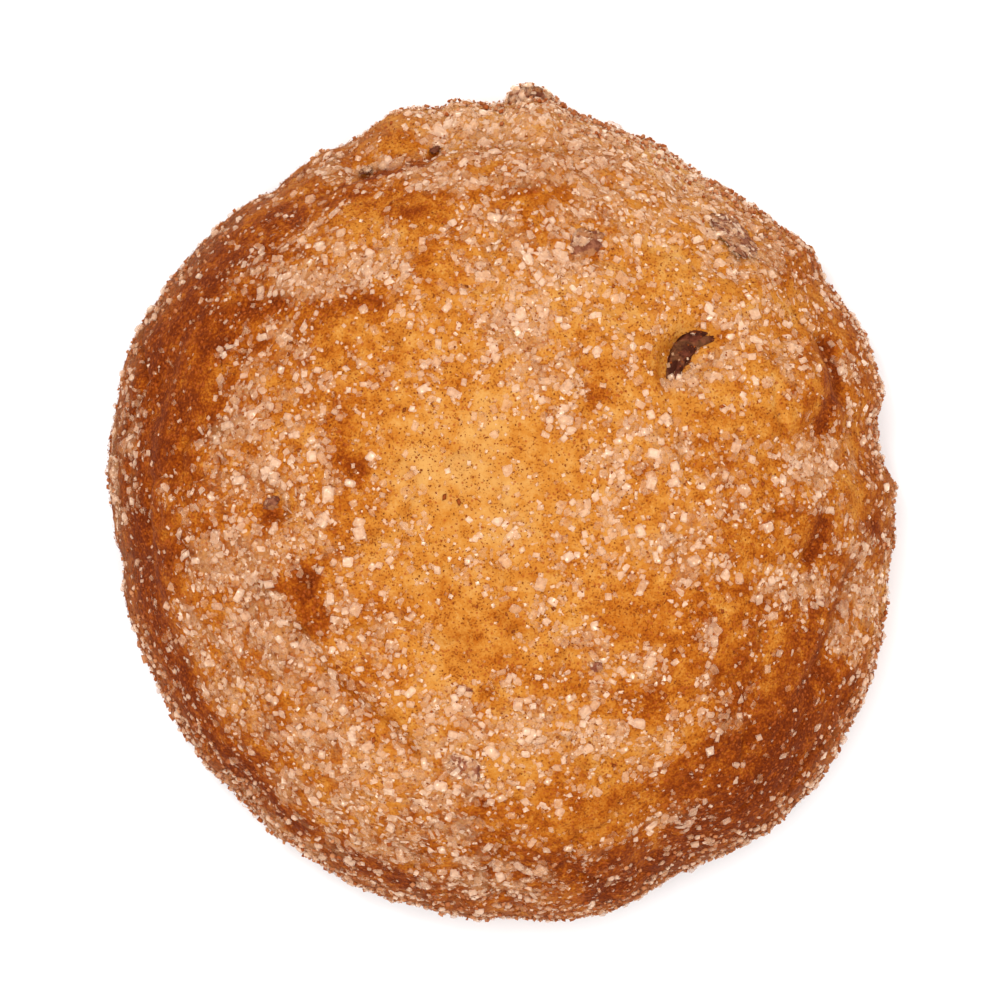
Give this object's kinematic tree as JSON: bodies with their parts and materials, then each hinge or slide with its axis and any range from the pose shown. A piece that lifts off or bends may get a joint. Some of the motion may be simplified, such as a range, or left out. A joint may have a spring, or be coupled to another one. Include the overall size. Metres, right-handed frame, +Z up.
{
  "type": "pecan snowball cookie",
  "caption": "Thick, round, hand-rolled pecan cookie with a flat base, browned crust, and a coat of coarse sugar and cinnamon.",
  "frame": {"origin": "on the plane the cookie rests on, under the middle of its outline", "axes": "+Z up out of the top; +X to the right and +Y to the far side as the cookie is seen from straight above"},
  "size_m": [0.0446, 0.0468, 0.0209],
  "materials": {
    "baked_dough": "golden-brown baked dough, darker towards the rim, matt with a sandy grain",
    "sugar_crystals": "coarse granulated sugar, translucent and glossy, tinted by cinnamon",
    "cinnamon": "ground cinnamon, matt red-brown specks and small chips",
    "pecan_pieces": "chopped pecan, dark brown skin, satin"
  },
  "bodies": {
    "root": {"cookie": "baked_dough"}
  },
  "joints": []
}
